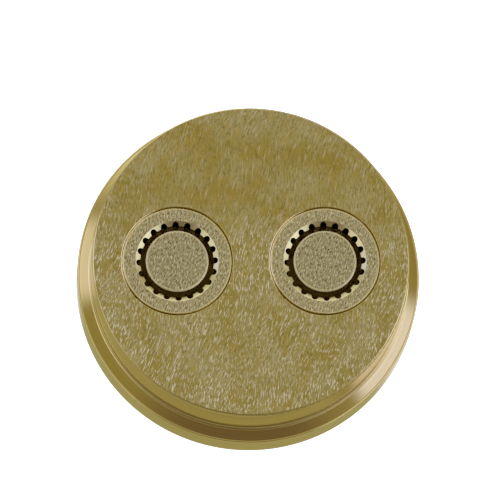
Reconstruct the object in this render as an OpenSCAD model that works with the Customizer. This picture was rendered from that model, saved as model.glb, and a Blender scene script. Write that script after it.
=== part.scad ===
// Pasta extrusion die: a turned brass body with two pressed-in inserts that form ribbed, curled tubes.
// The back face, where the dough comes in, lies on z = 0. The dough leaves at the face on top.

/* [Body] */
// Diameter of the rim, the widest part of the die
rim_d = 57; // [56:0.5:64]
// Height of the rim above the back face
rim_h = 5.8; // [3:0.1:7]
// Radial width of the ledge between the rim and the cone seat
rim_ledge = 0.35; // [0.3:0.05:0.7]
// Rounding of the rim's upper edge
rim_edge_r = 0.3; // [0.1:0.05:0.4]
// Edge break round the back face
back_edge = 0.3; // [0.1:0.05:0.8]
// Height of the cone seat
seat_h = 1.3; // [1:0.1:5]
// Diameter of the spigot that carries the face
spigot_d = 52.6; // [50:0.1:53.6]
// Height of the spigot from the cone seat to the face
spigot_h = 8.9; // [6:0.1:11]
// Radial width of the small ledge at the foot of the spigot
foot_ledge = 0.4; // [0.2:0.05:0.5]
// Fillet in the corner at the foot of the spigot
foot_r = 0.3; // [0.1:0.05:0.4]
// Rounding of the edge round the face
face_edge_r = 0.35; // [0.1:0.05:0.8]

/* [Insert seats] */
// Distance between the axes of the two inserts
insert_pitch = 24.5; // [22.5:0.1:26]
// Depth of the inserts' backs below the back face
inlet_recess = 0.8; // [0.4:0.1:2]
// Edge break of each seat at the back face
inlet_edge = 0.5; // [0.2:0.1:0.8]
// Rounding of each seat's edge at the face
bore_edge_r = 0.3; // [0.1:0.05:0.4]
// Radial clearance between pieces that are pressed together
fit_gap = 0.02; // [0.01:0.01:0.05]

/* [Sleeves] */
// Diameter of a sleeve at the face
sleeve_d = 18.2; // [17.2:0.1:19.2]
// Rounding of the edge round a sleeve's face
sleeve_edge_r = 0.2; // [0.1:0.05:0.4]
// Diameter of the flange that holds a sleeve against the dough's push
flange_d = 20.6; // [20:0.1:21.2]
// Height of that flange
flange_h = 3.6; // [2.5:0.1:5]
// Diameter of the chamber behind the forming bore
chamber_d = 14.6; // [14:0.1:15.4]

/* [Forming bore] */
// Diameter between the ribs of the forming bore
land_d = 12.16; // [11.7:0.02:12.5]
// Length of the forming bore below its countersink
land_len = 3.2; // [2:0.1:5]
// Number of grooves round the forming bore
groove_count = 20; // [12:1:24]
// Radius of a groove's round bottom
groove_r = 0.53; // [0.3:0.01:0.6]
// Depth of a groove below the land
groove_depth = 0.69; // [0.4:0.01:0.74]
// Radius of the shallow round that eases a groove into the land
groove_lead_r = 0.7; // [0.6:0.02:0.9]
// Depth of that shallow round below the land
groove_lead_depth = 0.34; // [0.2:0.02:0.4]
// Turn of the first groove from the line through both inserts, in degrees
groove_turn = 1.75; // [0:0.25:18]
// Diameter of the countersink at the face
mouth_d = 13.8; // [13.7:0.05:15]
// Depth of the countersink
mouth_depth = 0.5; // [0.2:0.05:1]

/* [Core pins] */
// Diameter of a pin's head, which makes the hole in the tube
core_d = 10.42; // [9.4:0.02:10.8]
// Edge break round a pin's face
core_edge = 0.2; // [0.1:0.05:0.4]
// Length of the straight part of the head
head_len = 5; // [3.5:0.1:6]
// Length of the cone from the neck to the head
head_taper = 2.4; // [1:0.1:3]
// Diameter of a pin's neck
neck_d = 7; // [5:0.1:7.4]
// Depth of the flat on one side of the head, which makes the tube curl
curl_depth = 0.8; // [0.3:0.1:1.2]
// Length of full head left in front of the flat
curl_lip = 1.8; // [1:0.1:3]
// Diameter of the spider at a pin's back
spider_d = 17; // [16.2:0.1:17.4]
// Thickness of the spider
spider_h = 3; // [2:0.1:4]
// Number of feed slots through the spider
feed_count = 3; // [2:1:4]
// Radial width of a feed slot
feed_w = 3.2; // [2:0.1:3.4]
// Width of the arms between the feed slots
arm_w = 2.4; // [1.6:0.1:3]
// Edge break of a feed slot at the inlet
feed_edge = 0.2; // [0.1:0.05:0.3]

/* [Hidden] */
$fn = 180;

// How far a cut runs past the surface that it opens
trim = 0.5;

// Radii and heights of the body
rim_r = rim_d / 2;
spigot_r = spigot_d / 2;
seat_low_r = rim_r - rim_ledge;
seat_top_r = spigot_r + foot_ledge;
seat_top_z = rim_h + seat_h;
face_z = seat_top_z + spigot_h;

// Radii and heights of the sleeves
sleeve_r = sleeve_d / 2;
flange_r = flange_d / 2;
chamber_r = chamber_d / 2;
land_r = land_d / 2;
mouth_r = mouth_d / 2;
inlet_z = inlet_recess;
step_z = inlet_z + flange_h;
land_top_z = face_z - mouth_depth;
land_low_z = land_top_z - land_len;
chamber_top_z = land_low_z - (chamber_r - land_r);

// Radii and heights of the core pins
core_r = core_d / 2;
neck_r = neck_d / 2;
spider_r = spider_d / 2;
spider_top_z = inlet_z + spider_h;
head_low_z = face_z - head_len;
taper_low_z = head_low_z - head_taper;

// Middle of a feed slot, half way from the neck to the chamber's wall
feed_mid_r = (neck_r + chamber_r) / 2;
// Angle at the axis from the middle of an arm to the round end of a slot
arm_angle = asin((arm_w + feed_w) / 2 / feed_mid_r);
feed_sweep = 360 / feed_count - 2 * arm_angle;

// What is turned away to round an outer edge at [x, z]
module edge_waste(x, z, r) {
    translate([x - r, z - r])
        difference() {
            square(r + trim);
            circle(r);
        }
}

// What is left in an inner corner at [x, z]
module corner_fillet(x, z, r) {
    translate([x, z])
        difference() {
            translate([-trim, -trim])
                square(r + trim);
            translate([r, r])
                circle(r);
        }
}

// Half section of the turned blank: rim, cone seat and spigot
module body_section() {
    difference() {
        polygon([
            [0, 0],
            [rim_r - back_edge, 0],
            [rim_r, back_edge],
            [rim_r, rim_h],
            [seat_low_r, rim_h],
            [seat_top_r, seat_top_z],
            [spigot_r, seat_top_z],
            [spigot_r, face_z],
            [0, face_z]
        ]);
        edge_waste(rim_r, rim_h, min(rim_edge_r, rim_ledge));
        edge_waste(spigot_r, face_z, face_edge_r);
    }
    corner_fillet(spigot_r, seat_top_z, min(foot_r, foot_ledge));
}

// Stepped bore that takes one sleeve, with its flange against the step
module insert_seat() {
    bore_r = sleeve_r + fit_gap;
    flange_bore_r = flange_r + fit_gap;
    rotate_extrude() {
        polygon([
            [0, -trim],
            [flange_bore_r + inlet_edge + trim, -trim],
            [flange_bore_r, inlet_edge],
            [flange_bore_r, step_z],
            [bore_r, step_z],
            [bore_r, face_z + trim],
            [0, face_z + trim]
        ]);
        translate([2 * bore_r, 0])
            mirror([1, 0])
                edge_waste(bore_r, face_z, bore_edge_r);
    }
}

// Half section of a sleeve: flange, chamber, throat, forming bore and countersink
module sleeve_section() {
    spider_seat_r = spider_r + fit_gap;
    difference() {
        polygon([
            [spider_seat_r, inlet_z],
            [flange_r, inlet_z],
            [flange_r, step_z],
            [sleeve_r, step_z],
            [sleeve_r, face_z],
            [mouth_r, face_z],
            [land_r, land_top_z],
            [land_r, land_low_z],
            [chamber_r, chamber_top_z],
            [chamber_r, spider_top_z],
            [spider_seat_r, spider_top_z]
        ]);
        edge_waste(sleeve_r, face_z, sleeve_edge_r);
    }
}

// One round cut along the forming bore, as deep as depth below the land
module bore_cut(r, depth) {
    translate([land_r + depth - r, 0, chamber_top_z])
        cylinder(r = r, h = face_z + trim - chamber_top_z, $fn = 48);
}

// The ring of round-bottomed grooves, eased into the land, that gives the tube its ribs
module grooves() {
    for (i = [0:groove_count - 1])
        rotate([0, 0, groove_turn + i * 360 / groove_count]) {
            bore_cut(groove_r, groove_depth);
            bore_cut(groove_lead_r, groove_lead_depth);
        }
}

module sleeve() {
    difference() {
        rotate_extrude()
            sleeve_section();
        grooves();
    }
}

// Half section of a core pin: spider blank, neck, cone and head
module pin_section() {
    polygon([
        [0, inlet_z],
        [spider_r, inlet_z],
        [spider_r, spider_top_z],
        [neck_r, spider_top_z],
        [neck_r, taper_low_z],
        [core_r, head_low_z],
        [core_r, face_z - core_edge],
        [core_r - core_edge, face_z],
        [0, face_z]
    ]);
}

// Half section of a feed slot about its own middle line, wider at the inlet
module feed_section() {
    half_w = feed_w / 2;
    polygon([
        [0, -trim],
        [half_w + feed_edge + trim, -trim],
        [half_w, feed_edge],
        [half_w, spider_h + trim],
        [0, spider_h + trim]
    ]);
}

// One curved slot with round ends, from its middle outwards
module feed_slot() {
    rotate([0, 0, -feed_sweep / 2])
        rotate_extrude(angle = feed_sweep)
            translate([feed_mid_r, 0]) {
                feed_section();
                mirror([1, 0])
                    feed_section();
            }
    for (side = [-1, 1])
        rotate([0, 0, side * feed_sweep / 2])
            translate([feed_mid_r, 0, 0])
                rotate_extrude($fn = 64)
                    feed_section();
}

// What is milled off one side of the head, short of its front lip
module curl_flat() {
    translate([core_r - curl_depth, -core_r, taper_low_z])
        cube([core_r, core_d, face_z - curl_lip - taper_low_z]);
}

module core_pin() {
    difference() {
        rotate_extrude()
            pin_section();
        for (i = [0:feed_count - 1])
            rotate([0, 0, i * 360 / feed_count])
                translate([0, 0, inlet_z])
                    feed_slot();
        curl_flat();
    }
}

// Sets an insert on its axis, with the side of the curl flat turned to the other insert
module at_left() {
    translate([-insert_pitch / 2, 0, 0])
        children();
}

module at_right() {
    rotate([0, 0, 180])
        at_left()
            children();
}

module die_body() {
    color("#94834a")
        difference() {
            rotate_extrude()
                body_section();
            at_left()
                insert_seat();
            at_right()
                insert_seat();
        }
}

module left_sleeve() {
    color("#9d8f63")
        at_left()
            sleeve();
}

module right_sleeve() {
    color("#9d8f63")
        at_right()
            sleeve();
}

module left_core_pin() {
    color("#a19365")
        at_left()
            core_pin();
}

module right_core_pin() {
    color("#a19365")
        at_right()
            core_pin();
}

die_body();
left_sleeve();
right_sleeve();
left_core_pin();
right_core_pin();
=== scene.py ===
import math

import bmesh
import bpy
from mathutils import Matrix, Vector


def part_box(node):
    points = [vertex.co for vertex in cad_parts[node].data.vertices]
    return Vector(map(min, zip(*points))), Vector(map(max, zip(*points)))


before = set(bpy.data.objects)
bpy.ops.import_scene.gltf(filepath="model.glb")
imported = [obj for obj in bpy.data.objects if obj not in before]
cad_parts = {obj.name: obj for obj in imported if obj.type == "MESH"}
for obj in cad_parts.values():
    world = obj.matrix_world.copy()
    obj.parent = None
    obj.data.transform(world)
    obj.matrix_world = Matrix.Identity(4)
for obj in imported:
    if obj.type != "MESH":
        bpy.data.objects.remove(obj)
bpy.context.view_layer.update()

# Die body
# One piece of free-cutting brass turned on a lathe: rim, cone seat and spigot come from one setting.
# Its face was then brushed by hand with a coarse wheel, which left short strokes all over it.
# Sizes of the die and of its patterns are in millimetres, and turns are in degrees.
MM_PER_M = 1000
FACE_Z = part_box("die_body")[1].z * MM_PER_M
FACE_EDGE_R = 25.7
FACE_ROUND = 0.35
SPIGOT_R = 26.3
SEAT_TOP_Z = 7.1
# The corner at the spigot's foot has a round of 0.3 mm. It is shaded wider, as if softened by polishing
FOOT_ROUND = 0.6
INSERT_X = 12.25
TURNED_BRASS = "#d9c375"
TURNED_DULL = "#d0b969"
SEAT_EDGE = "#b9a14c"
# A painted highlight on the left side of the insert seats' edges, and the way it faces, in degrees
SEAT_PAINTED_HIGHLIGHT = "#fdebae"
HIGHLIGHT_SIDE = 162
# Painted shade at the front, in the corner at the spigot's foot and under the face's edge
CORNER_PAINTED_SHADE = "#7a6028"
SHADE_SHARE = 0.38
FACE_OLIVE = "#b49f48"
FACE_BEIGE = "#c3b370"
FACE_AMBER = "#c3a542"
STROKE_DARK = "#938136"
# Pale colour of the brush marks, a painted glint
STROKE_PAINTED_GLINT = "#f4e7c2"
STROKE_TURN = 78
STROKE_LENGTH = 1.0
STROKE_WIDTH = 0.24
STROKE_DEPTH = 0.03
STROKE_WANDER = 4.0
WANDER_SIZE = 100 / 7
SPECKLE_SIZE = 0.4
SPECKLE_SHARE = 0.35
MOTTLE_SIZE = 5.0
AMBER_TURN = 70
AMBER_LENGTH = 3.0
AMBER_WIDTH = 1.1
SCRATCH_TURN = 72
SCRATCH_LENGTH = 2.4
FLECK_LENGTH = 0.85
FLECK_WIDTH = 0.18
CLUSTER_SIZE = 10 / 3
# Each pattern reads its own part of the noise, this far from the others
AMBER_SHIFT = (-13, 41, 11)
SCRATCH_SHIFT = (7, -29, 19)
FLECK_SHIFT = (31, 17, 5)
# Real turning marks are about 0.1 mm apart, too fine to show here, so they are drawn coarser
TURNING_PITCH = 0.3
TURNING_LENGTH = 20
TURNING_DEPTH = 0.008
DARK_STROKE_ROUGH = 0.5
PALE_STROKE_ROUGH = 0.38
TURNED_ROUGH_LOW = 0.12
TURNED_ROUGH_HIGH = 0.17
SEAT_EDGE_ROUGH = 0.24
# Roughness under the painted highlight on the seat edges
HIGHLIGHT_ROUGH = 0.6
# Roughness under the painted shade
SHADE_ROUGH = 0.36


def linear(hex_colour):
    """An sRGB hex colour as linear red, green, blue and alpha."""
    parts = [int(hex_colour[i:i + 2], 16) / 255 for i in (1, 3, 5)]
    return [c / 12.92 if c <= 0.04045 else ((c + 0.055) / 1.055) ** 2.4 for c in parts] + [1.0]


def add(tree, kind, inputs, out=0, **settings):
    """Adds a node with its settings and links, and gives back one of its outputs."""
    made = tree.nodes.new(kind)
    for name, value in settings.items():
        setattr(made, name, value)
    for name, value in inputs.items():
        if isinstance(value, bpy.types.NodeSocket):
            tree.links.new(value, made.inputs[name])
        else:
            made.inputs[name].default_value = value
    return made.outputs[out] if len(made.outputs) else None


def new_material(name):
    """A material with an empty node tree, and that tree."""
    made = bpy.data.materials.new(name)
    made.use_nodes = True
    made.node_tree.nodes.clear()
    return made, made.node_tree


def level_way(turn):
    """The level direction at this turn from +X."""
    return (math.cos(math.radians(turn)), math.sin(math.radians(turn)), 0)


def strokes(tree, place, turn, length, width, detail):
    """Noise drawn out into strokes of this length and width, at this turn from +X."""
    turned = add(tree, "ShaderNodeMapping", {"Vector": place, "Rotation": (0, 0, -math.radians(turn))})
    drawn = add(tree, "ShaderNodeMapping", {"Vector": turned, "Scale": (1 / length, 1 / width, 1)})
    return add(tree, "ShaderNodeTexNoise", {"Vector": drawn, "Scale": 1.0, "Detail": detail}, "Fac")


def turning_marks(tree, place, radius, height):
    """Rings left by the lathe tool round the axis of place, slowly changing on the way round."""
    across = add(tree, "ShaderNodeMath", {0: radius, 1: 1 / TURNING_PITCH}, operation="MULTIPLY")
    upwards = add(tree, "ShaderNodeMath", {0: height, 1: 1 / TURNING_PITCH}, operation="MULTIPLY")
    slow = add(tree, "ShaderNodeVectorMath", {0: place, 1: (1 / TURNING_LENGTH, 1 / TURNING_LENGTH, 0)},
               operation="MULTIPLY")
    ring = add(tree, "ShaderNodeCombineXYZ", {"Z": across})
    spot = add(tree, "ShaderNodeVectorMath", {0: slow, 1: ring}, operation="ADD")
    return add(tree, "ShaderNodeTexNoise", {"Vector": spot, "W": upwards, "Scale": 1.0, "Detail": 2.0},
               "Fac", noise_dimensions="4D")


# The brushed face is dull and olive with brush strokes whose pale tone is a painted glint, and the turned
# sides are bright and golden
body_brass, tree = new_material("brass_turned_and_brushed")
spot = add(tree, "ShaderNodeTexCoord", {}, "Object")
place = add(tree, "ShaderNodeMapping", {"Vector": spot, "Scale": (MM_PER_M, MM_PER_M, MM_PER_M)})
normal = add(tree, "ShaderNodeTexCoord", {}, "Normal")
normal_up = add(tree, "ShaderNodeSeparateXYZ", {"Vector": normal}, "Z")
left_to_right = add(tree, "ShaderNodeSeparateXYZ", {"Vector": place}, "X")
front_to_back = add(tree, "ShaderNodeSeparateXYZ", {"Vector": place}, "Y")
height = add(tree, "ShaderNodeSeparateXYZ", {"Vector": place}, "Z")
level = add(tree, "ShaderNodeVectorMath", {0: place, 1: (1, 1, 0)}, operation="MULTIPLY")
radius = add(tree, "ShaderNodeVectorMath", {0: level}, "Value", operation="LENGTH")

# The brushing covers the flat face and runs over its rounded outer edge, but not into the insert seats
at_top = add(tree, "ShaderNodeMapRange", {"Value": height, "From Min": FACE_Z - 0.06,
                                          "From Max": FACE_Z - 0.02})
facing_up = add(tree, "ShaderNodeMapRange", {"Value": normal_up, "From Min": 0.93, "From Max": 0.99})
flat = add(tree, "ShaderNodeMath", {0: at_top, 1: facing_up}, operation="MULTIPLY")
near_edge = add(tree, "ShaderNodeMapRange", {"Value": radius, "From Min": FACE_EDGE_R - 0.2,
                                             "From Max": FACE_EDGE_R})
near_top = add(tree, "ShaderNodeMapRange", {"Value": height, "From Min": FACE_Z - 0.4,
                                            "From Max": FACE_Z - 0.2})
edge_top = add(tree, "ShaderNodeMapRange", {"Value": height, "From Min": FACE_Z - 0.03,
                                            "From Max": FACE_Z - 0.01})
over_edge = add(tree, "ShaderNodeMath", {0: near_edge, 1: edge_top}, operation="MULTIPLY")
brushed = add(tree, "ShaderNodeMath", {0: flat, 1: over_edge}, operation="MAXIMUM")

# Slow noise bends the strokes a little, as a hand does
bend = add(tree, "ShaderNodeTexNoise", {"Vector": place, "Scale": 1 / WANDER_SIZE, "Detail": 0.0}, "Color")
bend = add(tree, "ShaderNodeVectorMath", {0: bend, 1: (0.5, 0.5, 0.5)}, operation="SUBTRACT")
bend = add(tree, "ShaderNodeVectorMath", {0: bend, "Scale": STROKE_WANDER}, operation="SCALE")
bent = add(tree, "ShaderNodeVectorMath", {0: place, 1: bend}, operation="ADD")

# Under the strokes the brass is olive and beige in patches
mottle = add(tree, "ShaderNodeTexNoise", {"Vector": place, "Scale": 1 / MOTTLE_SIZE, "Detail": 3.0}, "Fac")
mottle = add(tree, "ShaderNodeMapRange", {"Value": mottle, "From Min": 0.35, "From Max": 0.65})
face_colour = add(tree, "ShaderNodeMixRGB", {"Fac": mottle, "Color1": linear(FACE_OLIVE),
                                             "Color2": linear(FACE_BEIGE)})
fine = strokes(tree, bent, STROKE_TURN, STROKE_LENGTH, STROKE_WIDTH, 2.0)
speckle = add(tree, "ShaderNodeTexNoise", {"Vector": place, "Scale": 1 / SPECKLE_SIZE, "Detail": 2.0}, "Fac")
fine = add(tree, "ShaderNodeMix", {0: SPECKLE_SHARE, 2: fine, 3: speckle})
dark_share = add(tree, "ShaderNodeMapRange", {"Value": fine, "From Min": 0.54, "From Max": 0.33,
                                              "To Max": 0.78}, interpolation_type="SMOOTHSTEP")
face_colour = add(tree, "ShaderNodeMixRGB", {"Fac": dark_share, "Color1": face_colour,
                                             "Color2": linear(STROKE_DARK)})

# Amber patches a few millimetres long, where the wheel left the brass clean
amber_place = add(tree, "ShaderNodeVectorMath", {0: bent, 1: AMBER_SHIFT}, operation="ADD")
amber = strokes(tree, amber_place, AMBER_TURN, AMBER_LENGTH, AMBER_WIDTH, 3.0)
amber_share = add(tree, "ShaderNodeMapRange", {"Value": amber, "From Min": 0.5, "From Max": 0.68,
                                               "To Max": 0.42}, interpolation_type="SMOOTHSTEP")
face_colour = add(tree, "ShaderNodeMixRGB", {"Fac": amber_share, "Color1": face_colour,
                                             "Color2": linear(FACE_AMBER)})

# A few longer scratches run through the strokes, pale with a painted glint
scratch_place = add(tree, "ShaderNodeVectorMath", {0: bent, 1: SCRATCH_SHIFT}, operation="ADD")
scratch = strokes(tree, scratch_place, SCRATCH_TURN, SCRATCH_LENGTH, STROKE_WIDTH, 1.0)
scratch_share = add(tree, "ShaderNodeMapRange", {"Value": scratch, "From Min": 0.6, "From Max": 0.74,
                                                 "To Max": 0.4}, interpolation_type="SMOOTHSTEP")
face_colour = add(tree, "ShaderNodeMixRGB", {"Fac": scratch_share, "Color1": face_colour,
                                             "Color2": linear(STROKE_PAINTED_GLINT)})

# Pale flecks, brush marks with a painted glint, lie thickest between the inserts, towards the front and
# round the edge
fleck_place = add(tree, "ShaderNodeVectorMath", {0: bent, 1: FLECK_SHIFT}, operation="ADD")
fleck = strokes(tree, fleck_place, STROKE_TURN, FLECK_LENGTH, FLECK_WIDTH, 1.0)
fleck_share = add(tree, "ShaderNodeMapRange", {"Value": fleck, "From Min": 0.52, "From Max": 0.7},
                  interpolation_type="SMOOTHSTEP")
to_front = add(tree, "ShaderNodeMapRange", {"Value": front_to_back, "From Min": 13, "From Max": 0,
                                            "To Min": 0.12, "To Max": 0.8})
to_edge = add(tree, "ShaderNodeMapRange", {"Value": radius, "From Min": 21, "From Max": 25.5, "To Max": 0.3})
to_middle = add(tree, "ShaderNodeMapRange", {"Value": radius, "From Min": 8, "From Max": 2, "To Max": 0.45})
density = add(tree, "ShaderNodeMath", {0: to_front, 1: to_edge}, operation="ADD")
density = add(tree, "ShaderNodeMath", {0: density, 1: to_middle}, operation="ADD")
cluster = add(tree, "ShaderNodeTexNoise", {"Vector": fleck_place, "Scale": 1 / CLUSTER_SIZE, "Detail": 1.0},
              "Fac")
cluster = add(tree, "ShaderNodeMapRange", {"Value": cluster, "From Min": 0.35, "From Max": 0.65,
                                           "To Min": 0.75, "To Max": 1.15})
density = add(tree, "ShaderNodeMath", {0: density, 1: cluster}, operation="MULTIPLY")
fleck_share = add(tree, "ShaderNodeMath", {0: fleck_share, 1: density}, operation="MULTIPLY", use_clamp=True)
face_colour = add(tree, "ShaderNodeMixRGB", {"Fac": fleck_share, "Color1": face_colour,
                                             "Color2": linear(STROKE_PAINTED_GLINT)})

# The turned sides have fine rings, and the edges of the insert seats are a little darker
marks = turning_marks(tree, place, radius, height)
dull_share = add(tree, "ShaderNodeMapRange", {"Value": marks, "From Min": 0.35, "From Max": 0.65})
turned_colour = add(tree, "ShaderNodeMixRGB", {"Fac": dull_share, "Color1": linear(TURNED_BRASS),
                                               "Color2": linear(TURNED_DULL)})
seat_edge = add(tree, "ShaderNodeMath", {0: near_top, 1: near_edge}, operation="SUBTRACT", use_clamp=True)
turned_colour = add(tree, "ShaderNodeMixRGB", {"Fac": seat_edge, "Color1": turned_colour,
                                               "Color2": linear(SEAT_EDGE)})

# A painted highlight brightens the left side of each seat's edge
insert_side = add(tree, "ShaderNodeMath", {0: left_to_right}, operation="SIGN")
insert_axis = add(tree, "ShaderNodeMath", {0: insert_side, 1: INSERT_X}, operation="MULTIPLY")
insert_axis = add(tree, "ShaderNodeCombineXYZ", {"X": insert_axis})
from_axis = add(tree, "ShaderNodeVectorMath", {0: level, 1: insert_axis}, operation="SUBTRACT")
from_axis = add(tree, "ShaderNodeVectorMath", {0: from_axis}, operation="NORMALIZE")
painted_highlight = add(tree, "ShaderNodeVectorMath", {0: from_axis, 1: level_way(HIGHLIGHT_SIDE)}, "Value",
             operation="DOT_PRODUCT")
painted_highlight = add(tree, "ShaderNodeMapRange", {"Value": painted_highlight, "From Min": 0.6, "From Max": 0.85})
painted_highlight = add(tree, "ShaderNodeMath", {0: painted_highlight, 1: seat_edge}, operation="MULTIPLY")
turned_colour = add(tree, "ShaderNodeMixRGB", {"Fac": painted_highlight, "Color1": turned_colour,
                                               "Color2": linear(SEAT_PAINTED_HIGHLIGHT)})

# Painted shade darkens the front, in the corner at the spigot's foot and in a line under the face's edge
by_spigot = add(tree, "ShaderNodeMapRange", {"Value": radius, "From Min": SPIGOT_R + 0.5,
                                             "From Max": SPIGOT_R + 0.3})
above_seat = add(tree, "ShaderNodeMapRange", {"Value": height, "From Min": SEAT_TOP_Z - 0.2,
                                              "From Max": SEAT_TOP_Z - 0.1})
low_on_wall = add(tree, "ShaderNodeMapRange", {"Value": height, "From Min": SEAT_TOP_Z + 2.0,
                                               "From Max": SEAT_TOP_Z + 0.2},
                  interpolation_type="SMOOTHSTEP")
painted_shade = add(tree, "ShaderNodeMath", {0: by_spigot, 1: above_seat}, operation="MULTIPLY")
painted_shade = add(tree, "ShaderNodeMath", {0: painted_shade, 1: low_on_wall}, operation="MULTIPLY")
in_front = add(tree, "ShaderNodeMapRange", {"Value": front_to_back, "From Min": -11, "From Max": -20})
painted_shade = add(tree, "ShaderNodeMath", {0: painted_shade, 1: in_front}, operation="MULTIPLY")
under_edge = add(tree, "ShaderNodeMapRange", {"Value": height, "From Min": FACE_Z - 0.3,
                                              "From Max": FACE_Z - 0.2})
under_edge = add(tree, "ShaderNodeMath", {0: under_edge, 1: near_edge}, operation="MULTIPLY")
under_edge = add(tree, "ShaderNodeMath", {0: under_edge, 1: in_front}, operation="MULTIPLY")
painted_shade = add(tree, "ShaderNodeMath", {0: painted_shade, 1: under_edge}, operation="MAXIMUM")
shade_share = add(tree, "ShaderNodeMath", {0: painted_shade, 1: SHADE_SHARE}, operation="MULTIPLY")
turned_colour = add(tree, "ShaderNodeMixRGB", {"Fac": shade_share, "Color1": turned_colour,
                                               "Color2": linear(CORNER_PAINTED_SHADE)})
colour = add(tree, "ShaderNodeMixRGB", {"Fac": brushed, "Color1": turned_colour, "Color2": face_colour})

# The turned sides shine, and the brushed face, the painted highlight on the seat edges and the painted shade
# are duller
face_rough = add(tree, "ShaderNodeMapRange", {"Value": fine, "From Min": 0.3, "From Max": 0.7,
                                              "To Min": DARK_STROKE_ROUGH, "To Max": PALE_STROKE_ROUGH})
turned_rough = add(tree, "ShaderNodeMapRange", {"Value": marks, "From Min": 0.3, "From Max": 0.7,
                                                "To Min": TURNED_ROUGH_LOW, "To Max": TURNED_ROUGH_HIGH})
for share, roughness in ((seat_edge, SEAT_EDGE_ROUGH), (painted_highlight, HIGHLIGHT_ROUGH), (painted_shade, SHADE_ROUGH)):
    turned_rough = add(tree, "ShaderNodeMix", {0: share, 2: turned_rough, 3: roughness})
rough = add(tree, "ShaderNodeMix", {0: brushed, 2: turned_rough, 3: face_rough})

# The lathe left a true round on the face's edge and in the corner at the spigot's foot
outwards = add(tree, "ShaderNodeVectorMath", {0: level}, operation="NORMALIZE")
edge_out = add(tree, "ShaderNodeMath", {0: radius, 1: SPIGOT_R - FACE_ROUND},
               operation="SUBTRACT", use_clamp=True)
edge_up = add(tree, "ShaderNodeMath", {0: height, 1: FACE_Z - FACE_ROUND},
              operation="SUBTRACT", use_clamp=True)
foot_out = add(tree, "ShaderNodeMath", {0: SPIGOT_R + FOOT_ROUND, 1: radius},
               operation="SUBTRACT", use_clamp=True)
foot_up = add(tree, "ShaderNodeMath", {0: SEAT_TOP_Z + FOOT_ROUND, 1: height},
              operation="SUBTRACT", use_clamp=True)
upper = add(tree, "ShaderNodeMath", {0: height, 1: (FACE_Z + SEAT_TOP_Z) / 2}, operation="GREATER_THAN")
lean_out = add(tree, "ShaderNodeMix", {0: upper, 2: foot_out, 3: edge_out})
lean_up = add(tree, "ShaderNodeMix", {0: upper, 2: foot_up, 3: edge_up})
lean_out = add(tree, "ShaderNodeVectorMath", {0: outwards, "Scale": lean_out}, operation="SCALE")
lean_up = add(tree, "ShaderNodeCombineXYZ", {"Z": lean_up})
round_normal = add(tree, "ShaderNodeVectorMath", {0: lean_out, 1: lean_up}, operation="ADD")
round_normal = add(tree, "ShaderNodeVectorMath", {0: round_normal}, operation="NORMALIZE")
off_seats = add(tree, "ShaderNodeMath", {0: radius, 1: FACE_EDGE_R}, operation="GREATER_THAN")
on_plane = add(tree, "ShaderNodeMath", {0: height, 1: FACE_Z - 0.004}, operation="GREATER_THAN")
on_spigot = add(tree, "ShaderNodeMath", {0: height, 1: SEAT_TOP_Z - 0.01}, operation="GREATER_THAN")
rounded = add(tree, "ShaderNodeMath", {0: off_seats, 1: on_plane}, operation="MAXIMUM")
rounded = add(tree, "ShaderNodeMath", {0: rounded, 1: on_spigot}, operation="MULTIPLY")
solid_normal = add(tree, "ShaderNodeNewGeometry", {}, "Normal")
true_normal = add(tree, "ShaderNodeMix", {0: rounded, 4: solid_normal, 5: round_normal}, 1,
                  data_type="VECTOR")
face_relief = add(tree, "ShaderNodeMath", {0: fine, 1: fleck}, operation="ADD")
face_bump = add(tree, "ShaderNodeBump", {"Height": face_relief, "Strength": 0.4,
                                         "Distance": STROKE_DEPTH / MM_PER_M, "Normal": true_normal})
turned_bump = add(tree, "ShaderNodeBump", {"Height": marks, "Strength": 0.1,
                                           "Distance": TURNING_DEPTH / MM_PER_M, "Normal": true_normal})
bump = add(tree, "ShaderNodeMix", {0: brushed, 4: turned_bump, 5: face_bump}, 1, data_type="VECTOR")
surface = add(tree, "ShaderNodeBsdfPrincipled", {"Base Color": colour, "Metallic": 1.0, "Roughness": rough,
                                                 "Normal": bump})
add(tree, "ShaderNodeOutputMaterial", {"Surface": surface})
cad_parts["die_body"].material_slots[0].material = body_brass

# Insert sleeves
# Turned brass rings pressed into the body from behind, each with a broached forming bore.
# Their faces are sanded fine and the countersinks are left bright. The bores carry painted shade, with
# painted amber glints deeper down.
SLEEVE_R = 9.1
CORE_R = 5.21
LAND_R = 6.08
LAND_LOW_Z = FACE_Z - 3.7
# Between these heights the painted shade in the bore fades to painted amber glints
SHADE_TOP_Z = FACE_Z - 0.8
SHADE_LOW_Z = FACE_Z - 3.2
SLEEVE_SANDED = "#c3b479"
SLEEVE_GRAIN_DARK = "#70653c"
SLEEVE_GRAIN_PALE = "#f6eabc"
# Colour of the painted highlight ring along the edges of the sleeve's face
SLEEVE_RING_HIGHLIGHT = "#ead893"
SLEEVE_EDGE = "#b8a150"
SLEEVE_EDGE_ROUGH = 0.3
BRIGHT_BRASS = "#dacc88"
# Painted shade and painted amber glints inside the bores
BORE_PAINTED_SHADE = "#5a4813"
GROOVE_PAINTED_SHADE = "#1c1505"
BORE_PAINTED_GLINT = "#eccb5e"
BACK_BRASS = "#cfb35c"
INSIDE_ROUGH = 0.6
SANDED_ROUGH = 0.48
# Real grit marks are about 0.1 mm wide, too fine to show here, so they are drawn coarser
GRIT_WIDTH = 0.19
GRIT_LENGTH = 0.6
GRIT_DEPTH = 0.03
DARK_GRIT_TURN = 60
PALE_GRIT_TURN = 76
PALE_GRIT_SHIFT = (9, 23, 3)
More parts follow.
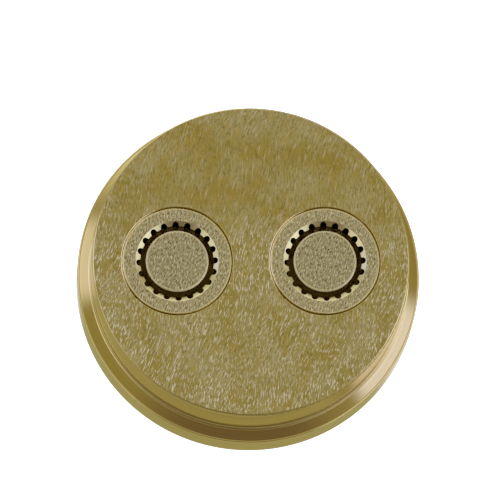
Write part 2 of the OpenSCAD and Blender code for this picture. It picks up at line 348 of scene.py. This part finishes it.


# Fine sanding gives a soft grey-gold shine with dark and pale grain, and the sleeve's edges shine more.
# Inside, the brass is painted dull and dark brown as painted shade, with painted amber glints deeper down.
def sanded_brass(name, sanded, grain_dark, grain_pale, ring, edge_rough):
    """Sanded brass on the face, bright on the edges, painted shade inside, plain brass behind."""
    made, tree = new_material(name)
    spot = add(tree, "ShaderNodeTexCoord", {}, "Object")
    place = add(tree, "ShaderNodeMapping", {"Vector": spot, "Scale": (MM_PER_M, MM_PER_M, MM_PER_M)})
    normal = add(tree, "ShaderNodeTexCoord", {}, "Normal")
    normal_up = add(tree, "ShaderNodeSeparateXYZ", {"Vector": normal}, "Z")
    left_to_right = add(tree, "ShaderNodeSeparateXYZ", {"Vector": place}, "X")
    front_to_back = add(tree, "ShaderNodeSeparateXYZ", {"Vector": place}, "Y")
    height = add(tree, "ShaderNodeSeparateXYZ", {"Vector": place}, "Z")

    # Distance and direction from the axis of the insert that a point belongs to
    side = add(tree, "ShaderNodeMath", {0: left_to_right}, operation="ABSOLUTE")
    from_axis = add(tree, "ShaderNodeMath", {0: side, 1: INSERT_X}, operation="SUBTRACT")
    insert_side = add(tree, "ShaderNodeMath", {0: left_to_right}, operation="SIGN")
    from_axis = add(tree, "ShaderNodeMath", {0: from_axis, 1: insert_side}, operation="MULTIPLY")
    arm = add(tree, "ShaderNodeCombineXYZ", {"X": from_axis, "Y": front_to_back})
    arm_way = add(tree, "ShaderNodeVectorMath", {0: arm}, operation="NORMALIZE")
    reach = add(tree, "ShaderNodeVectorMath", {0: arm}, "Value", operation="LENGTH")

    # Clean brass shows on the face, on the edges by it, on the sleeve's outer wall and on the back
    at_top = add(tree, "ShaderNodeMapRange", {"Value": height, "From Min": FACE_Z - 0.05,
                                              "From Max": FACE_Z - 0.02})
    facing_up = add(tree, "ShaderNodeMapRange", {"Value": normal_up, "From Min": 0.93, "From Max": 0.99})
    on_face = add(tree, "ShaderNodeMath", {0: at_top, 1: facing_up}, operation="MULTIPLY")
    near_top = add(tree, "ShaderNodeMapRange", {"Value": height, "From Min": FACE_Z - 0.6,
                                                "From Max": FACE_Z - 0.55})
    slanted = add(tree, "ShaderNodeMapRange", {"Value": normal_up, "From Min": 0.3, "From Max": 0.5})
    on_edge = add(tree, "ShaderNodeMath", {0: slanted, 1: near_top}, operation="MULTIPLY")
    outermost = add(tree, "ShaderNodeMath", {0: reach, 1: SLEEVE_R - 0.3}, operation="GREATER_THAN")
    outer_wall = add(tree, "ShaderNodeMath", {0: outermost, 1: near_top}, operation="MULTIPLY")
    on_edge = add(tree, "ShaderNodeMath", {0: on_edge, 1: outer_wall}, operation="MAXIMUM")
    low = add(tree, "ShaderNodeMapRange", {"Value": height, "From Min": 1.6, "From Max": 1.1})
    facing_down = add(tree, "ShaderNodeMapRange", {"Value": normal_up, "From Min": -0.3, "From Max": -0.5})
    behind = add(tree, "ShaderNodeMath", {0: low, 1: facing_down}, operation="MULTIPLY")
    clean = add(tree, "ShaderNodeMath", {0: on_edge, 1: behind}, operation="MAXIMUM")
    clean = add(tree, "ShaderNodeMath", {0: clean, 1: on_face}, operation="MAXIMUM")

    # The sanded face has dark and pale grain that runs two ways
    dark_grit = strokes(tree, place, DARK_GRIT_TURN, GRIT_LENGTH, GRIT_WIDTH, 2.0)
    pale_place = add(tree, "ShaderNodeVectorMath", {0: place, 1: PALE_GRIT_SHIFT}, operation="ADD")
    pale_grit = strokes(tree, pale_place, PALE_GRIT_TURN, GRIT_LENGTH, GRIT_WIDTH, 2.0)
    dark_share = add(tree, "ShaderNodeMapRange", {"Value": dark_grit, "From Min": 0.55, "From Max": 0.3},
                     interpolation_type="SMOOTHSTEP")
    pale_share = add(tree, "ShaderNodeMapRange", {"Value": pale_grit, "From Min": 0.46, "From Max": 0.72},
                     interpolation_type="SMOOTHSTEP")
    face = add(tree, "ShaderNodeMixRGB", {"Fac": dark_share, "Color1": linear(sanded),
                                          "Color2": linear(grain_dark)})
    face = add(tree, "ShaderNodeMixRGB", {"Fac": pale_share, "Color1": face, "Color2": linear(grain_pale)})

    # Painted shade is darkest near the mouth and in the grooves, and deeper down painted amber glints show
    deep = add(tree, "ShaderNodeMapRange", {"Value": height, "From Min": SHADE_TOP_Z, "From Max": SHADE_LOW_Z},
               interpolation_type="SMOOTHSTEP")
    inside = add(tree, "ShaderNodeMixRGB", {"Fac": deep, "Color1": linear(BORE_PAINTED_SHADE),
                                            "Color2": linear(BORE_PAINTED_GLINT)})
    in_groove = add(tree, "ShaderNodeMapRange", {"Value": reach, "From Min": LAND_R + 0.05,
                                                 "From Max": LAND_R + 0.35})
    above_chamber = add(tree, "ShaderNodeMapRange", {"Value": height, "From Min": LAND_LOW_Z - 0.2,
                                                     "From Max": LAND_LOW_Z + 0.2})
    in_groove = add(tree, "ShaderNodeMath", {0: in_groove, 1: above_chamber}, operation="MULTIPLY")
    inside = add(tree, "ShaderNodeMixRGB", {"Fac": in_groove, "Color1": inside,
                                            "Color2": linear(GROOVE_PAINTED_SHADE)})
    inside = add(tree, "ShaderNodeMixRGB", {"Fac": behind, "Color1": inside, "Color2": linear(BACK_BRASS)})

    # The countersink is bright, and the sleeve's outer edge is golden with a pale painted highlight on its
    # left side
    left_arc = add(tree, "ShaderNodeVectorMath", {0: arm_way, 1: level_way(HIGHLIGHT_SIDE)}, "Value",
                   operation="DOT_PRODUCT")
    left_arc = add(tree, "ShaderNodeMapRange", {"Value": left_arc, "From Min": 0.6, "From Max": 0.85})
    left_arc = add(tree, "ShaderNodeMath", {0: left_arc, 1: outermost}, operation="MULTIPLY")
    bright = add(tree, "ShaderNodeMixRGB", {"Fac": outermost, "Color1": linear(BRIGHT_BRASS),
                                            "Color2": linear(SLEEVE_EDGE)})
    bright = add(tree, "ShaderNodeMixRGB", {"Fac": left_arc, "Color1": bright,
                                            "Color2": linear(SEAT_PAINTED_HIGHLIGHT)})
    colour = add(tree, "ShaderNodeMixRGB", {"Fac": on_edge, "Color1": inside, "Color2": bright})
    colour = add(tree, "ShaderNodeMixRGB", {"Fac": on_face, "Color1": colour, "Color2": face})

    # A paler ring, a painted highlight, runs along the edge of the core and of the sleeve
    by_sleeve = add(tree, "ShaderNodeMapRange", {"Value": reach, "From Min": SLEEVE_R - 0.42,
                                                 "From Max": SLEEVE_R - 0.3, "To Max": 0.7})
    by_sleeve = add(tree, "ShaderNodeMath", {0: by_sleeve, 1: on_face}, operation="MULTIPLY")
    by_core = add(tree, "ShaderNodeMapRange", {"Value": reach, "From Min": CORE_R - 0.36,
                                               "From Max": CORE_R - 0.24})
    off_core = add(tree, "ShaderNodeMath", {0: reach, 1: CORE_R + 0.1}, operation="GREATER_THAN")
    by_core = add(tree, "ShaderNodeMath", {0: by_core, 1: off_core}, operation="SUBTRACT", use_clamp=True)
    top_only = add(tree, "ShaderNodeMath", {0: on_face, 1: on_edge}, operation="MAXIMUM")
    by_core = add(tree, "ShaderNodeMath", {0: by_core, 1: top_only}, operation="MULTIPLY")
    painted_highlight = add(tree, "ShaderNodeMath", {0: by_sleeve, 1: by_core}, operation="MAXIMUM")
    colour = add(tree, "ShaderNodeMixRGB", {"Fac": painted_highlight, "Color1": colour, "Color2": linear(ring)})

    # The painted shade inside, the clean edges and the sanded face each have a shine of their own
    rough = add(tree, "ShaderNodeMapRange", {"Value": clean, "To Min": INSIDE_ROUGH, "To Max": edge_rough})
    rough = add(tree, "ShaderNodeMix", {0: on_face, 2: rough, 3: SANDED_ROUGH})
    grain = add(tree, "ShaderNodeMath", {0: dark_grit, 1: pale_grit}, operation="ADD")
    grain = add(tree, "ShaderNodeMath", {0: grain, 1: on_face}, operation="MULTIPLY")
    bump = add(tree, "ShaderNodeBump", {"Height": grain, "Strength": 0.4, "Distance": GRIT_DEPTH / MM_PER_M})
    surface = add(tree, "ShaderNodeBsdfPrincipled", {"Base Color": colour, "Metallic": clean,
                                                     "Roughness": rough, "Specular IOR Level": 0.0,
                                                     "Normal": bump})
    add(tree, "ShaderNodeOutputMaterial", {"Surface": surface})
    return made


sleeve_brass = sanded_brass("brass_sleeve_sanded", SLEEVE_SANDED, SLEEVE_GRAIN_DARK, SLEEVE_GRAIN_PALE,
                            SLEEVE_RING_HIGHLIGHT, SLEEVE_EDGE_ROUGH)
for name in ("left_sleeve", "right_sleeve"):
    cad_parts[name].material_slots[0].material = sleeve_brass

# Core pins
# One turned and milled brass pin in each sleeve, held by a spider with three curved feed slots.
# The round end of its head is sanded flush with the sleeve, a little darker than the ring round it.
CORE_SANDED = "#bbae76"
CORE_GRAIN_DARK = "#6a5f38"
CORE_GRAIN_PALE = "#f1e5b8"
# Colour of the painted highlight ring along the edge of the core's face
CORE_RING_HIGHLIGHT = "#f2e4aa"
CORE_EDGE_ROUGH = 0.6
pin_brass = sanded_brass("brass_core_sanded", CORE_SANDED, CORE_GRAIN_DARK, CORE_GRAIN_PALE,
                         CORE_RING_HIGHLIGHT, CORE_EDGE_ROUGH)
for name in ("left_core_pin", "right_core_pin"):
    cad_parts[name].material_slots[0].material = pin_brass

# Floor
# A white table top, in metres, that runs far past the picture and lies a hair under the die's back.
# Under the die it is painted in shade, dark brown, and glows a dim brown that lights the bores from below.
# It is clear from below, so that the back can be seen, and the brass mirrors the studio and not the table.
FLOOR_SIZE = 6.0
FLOOR_Z = -0.00005
SHADE_R = 0.0270
LIGHT_R = 0.0286
TABLE_WHITE = "#f4f4f4"
TABLE_GLOW = "#ffffff"
# Painted shade under the die, which also glows dimly
TABLE_SHADE = "#2a2007"
TABLE_ROUGH = 0.8
floor_mesh = bpy.data.meshes.new("floor")
shape = bmesh.new()
bmesh.ops.create_grid(shape, x_segments=1, y_segments=1, size=FLOOR_SIZE / 2)
bmesh.ops.translate(shape, verts=shape.verts, vec=(0, 0, FLOOR_Z))
shape.to_mesh(floor_mesh)
shape.free()
floor = bpy.data.objects.new("floor", floor_mesh)
bpy.context.scene.collection.objects.link(floor)
floor.visible_glossy = False

# Matt laminate shows no shine, and lit from all sides it is plain white
white_laminate, tree = new_material("laminate_white_matt")
spot = add(tree, "ShaderNodeTexCoord", {}, "Object")
reach = add(tree, "ShaderNodeVectorMath", {0: spot}, "Value", operation="LENGTH")
lit = add(tree, "ShaderNodeMapRange", {"Value": reach, "From Min": SHADE_R, "From Max": LIGHT_R})
colour = add(tree, "ShaderNodeMixRGB", {"Fac": lit, "Color1": linear(TABLE_SHADE),
                                        "Color2": linear(TABLE_WHITE)})
glow = add(tree, "ShaderNodeMixRGB", {"Fac": lit, "Color1": linear(TABLE_SHADE),
                                      "Color2": linear(TABLE_GLOW)})
surface = add(tree, "ShaderNodeBsdfPrincipled", {"Base Color": colour, "Roughness": TABLE_ROUGH,
                                                 "Specular IOR Level": 0.0,
                                                 "Emission Color": glow, "Emission Strength": 1.0})
from_below = add(tree, "ShaderNodeNewGeometry", {}, "Backfacing")
clear = add(tree, "ShaderNodeBsdfTransparent", {})
surface = add(tree, "ShaderNodeMixShader", {0: from_below, 1: surface, 2: clear})
add(tree, "ShaderNodeOutputMaterial", {"Surface": surface})
floor_mesh.materials.append(white_laminate)

# Studio light
# Soft panels round a dim, warm room. Each row gives the way that a panel stands in, half its width and
# the softness of its sides, its low and high edge and their softness, all in degrees, and its light.
ROOM_ABOVE = (0.55, 0.54, 0.515)
ROOM_BELOW = (0.43, 0.41, 0.21)
ROOM_FADE = 0.15
BACKDROP = (1, 1, 1)
PANELS = [
    ("warm walls", -90, 150, 30, -14, 32, 10, (0.37, 0.34, 0.20)),
    ("front, dark", -92, 32, 26, 10, 60, 8, (0.20, 0.155, 0.14)),
    ("front and left, low", -115, 72, 15, -30, 4, 4, (0.60, 0.68, 0.82)),
    ("left", 160, 14, 5, -20, 26, 4, (1.0, 1.04, 1.75)),
    ("left, upper", 160, 9, 4, 30, 52, 3, (1.3, 1.5, 4.0)),
    ("right", -16, 20, 5, -20, 20, 4, (1.1, 1.17, 2.6)),
    ("left, high", -160, 24, 8, 29, 46, 4, (1.25, 1.3, 2.1)),
    ("right, high", -14, 40, 8, 22, 48, 4, (1.3, 1.4, 2.3)),
    ("back", 90, 40, 15, -20, 30, 6, (1.0, 1.03, 1.45)),
    ("back, under", 74, 44, 12, -89, -50, 1, (0.92, 0.92, 0.9)),
]
studio = bpy.data.worlds.new("studio")
bpy.context.scene.world = studio
studio.use_nodes = True
tree = studio.node_tree
tree.nodes.clear()
look = add(tree, "ShaderNodeTexCoord", {}, "Generated")
rise = add(tree, "ShaderNodeSeparateXYZ", {"Vector": look}, "Z")
level = add(tree, "ShaderNodeVectorMath", {0: look, 1: (1, 1, 0)}, operation="MULTIPLY")
level = add(tree, "ShaderNodeVectorMath", {0: level}, operation="NORMALIZE")
skyward = add(tree, "ShaderNodeMapRange", {"Value": rise, "From Min": -ROOM_FADE, "From Max": ROOM_FADE})
light = add(tree, "ShaderNodeMixRGB", {"Fac": skyward, "Color1": (*ROOM_BELOW, 1),
                                       "Color2": (*ROOM_ABOVE, 1)})
for panel, azimuth, half, side_soft, low, high, edge_soft, panel_light in PANELS:
    along = add(tree, "ShaderNodeVectorMath", {0: level, 1: level_way(azimuth)}, "Value",
                operation="DOT_PRODUCT")
    sides = add(tree, "ShaderNodeMapRange", {"Value": along,
                                             "From Min": math.cos(math.radians(half + side_soft)),
                                             "From Max": math.cos(math.radians(half - side_soft))},
                interpolation_type="SMOOTHSTEP")
    foot = add(tree, "ShaderNodeMapRange", {"Value": rise,
                                            "From Min": math.sin(math.radians(low - edge_soft)),
                                            "From Max": math.sin(math.radians(low + edge_soft))},
               interpolation_type="SMOOTHSTEP")
    head = add(tree, "ShaderNodeMapRange", {"Value": rise,
                                            "From Min": math.sin(math.radians(high + edge_soft)),
                                            "From Max": math.sin(math.radians(high - edge_soft))},
               interpolation_type="SMOOTHSTEP")
    share = add(tree, "ShaderNodeMath", {0: foot, 1: head}, operation="MULTIPLY")
    share = add(tree, "ShaderNodeMath", {0: share, 1: sides}, operation="MULTIPLY")
    light = add(tree, "ShaderNodeMixRGB", {"Fac": share, "Color1": light, "Color2": (*panel_light, 1)},
                label=panel)
seen = add(tree, "ShaderNodeLightPath", {}, "Is Camera Ray")
light = add(tree, "ShaderNodeMixRGB", {"Fac": seen, "Color1": light, "Color2": (*BACKDROP, 1)})
sky = add(tree, "ShaderNodeBackground", {"Color": light, "Strength": 1.0})
add(tree, "ShaderNodeOutputWorld", {"Surface": sky})
bpy.context.scene.view_settings.view_transform = "Standard"

# Camera
# Far off with a long lens, so the die shows almost no perspective. Its places are in metres.
# It is tilted from straight above towards the front, leans a little to the left, and is swung round
# the die's axis until the two inserts lie level.
TILT = 14.366
LEAN = 2.667
SWING = -0.64
DISTANCE = 1.5
OFFSET_X = -0.00019
OFFSET_Y = 0.00183
VIEW_LIMIT = 20
PIXELS_PER_MM = 6.043
IMAGE_PX = 500
SENSOR_MM = 36
camera_data = bpy.data.cameras.new("camera")
camera_data.sensor_width = SENSOR_MM
camera_data.lens = SENSOR_MM * PIXELS_PER_MM * DISTANCE * MM_PER_M / IMAGE_PX
camera_data.clip_end = VIEW_LIMIT
camera = bpy.data.objects.new("camera", camera_data)
bpy.context.scene.collection.objects.link(camera)
turn = Matrix.Rotation(-math.radians(LEAN), 4, "Y") @ Matrix.Rotation(math.radians(TILT), 4, "X")
turn = Matrix.Rotation(math.radians(SWING), 4, "Z") @ turn
stand = Vector((0, 0, FACE_Z / MM_PER_M)) + turn @ Vector((OFFSET_X, OFFSET_Y, DISTANCE))
camera.matrix_world = Matrix.Translation(stand) @ turn
bpy.context.scene.camera = camera
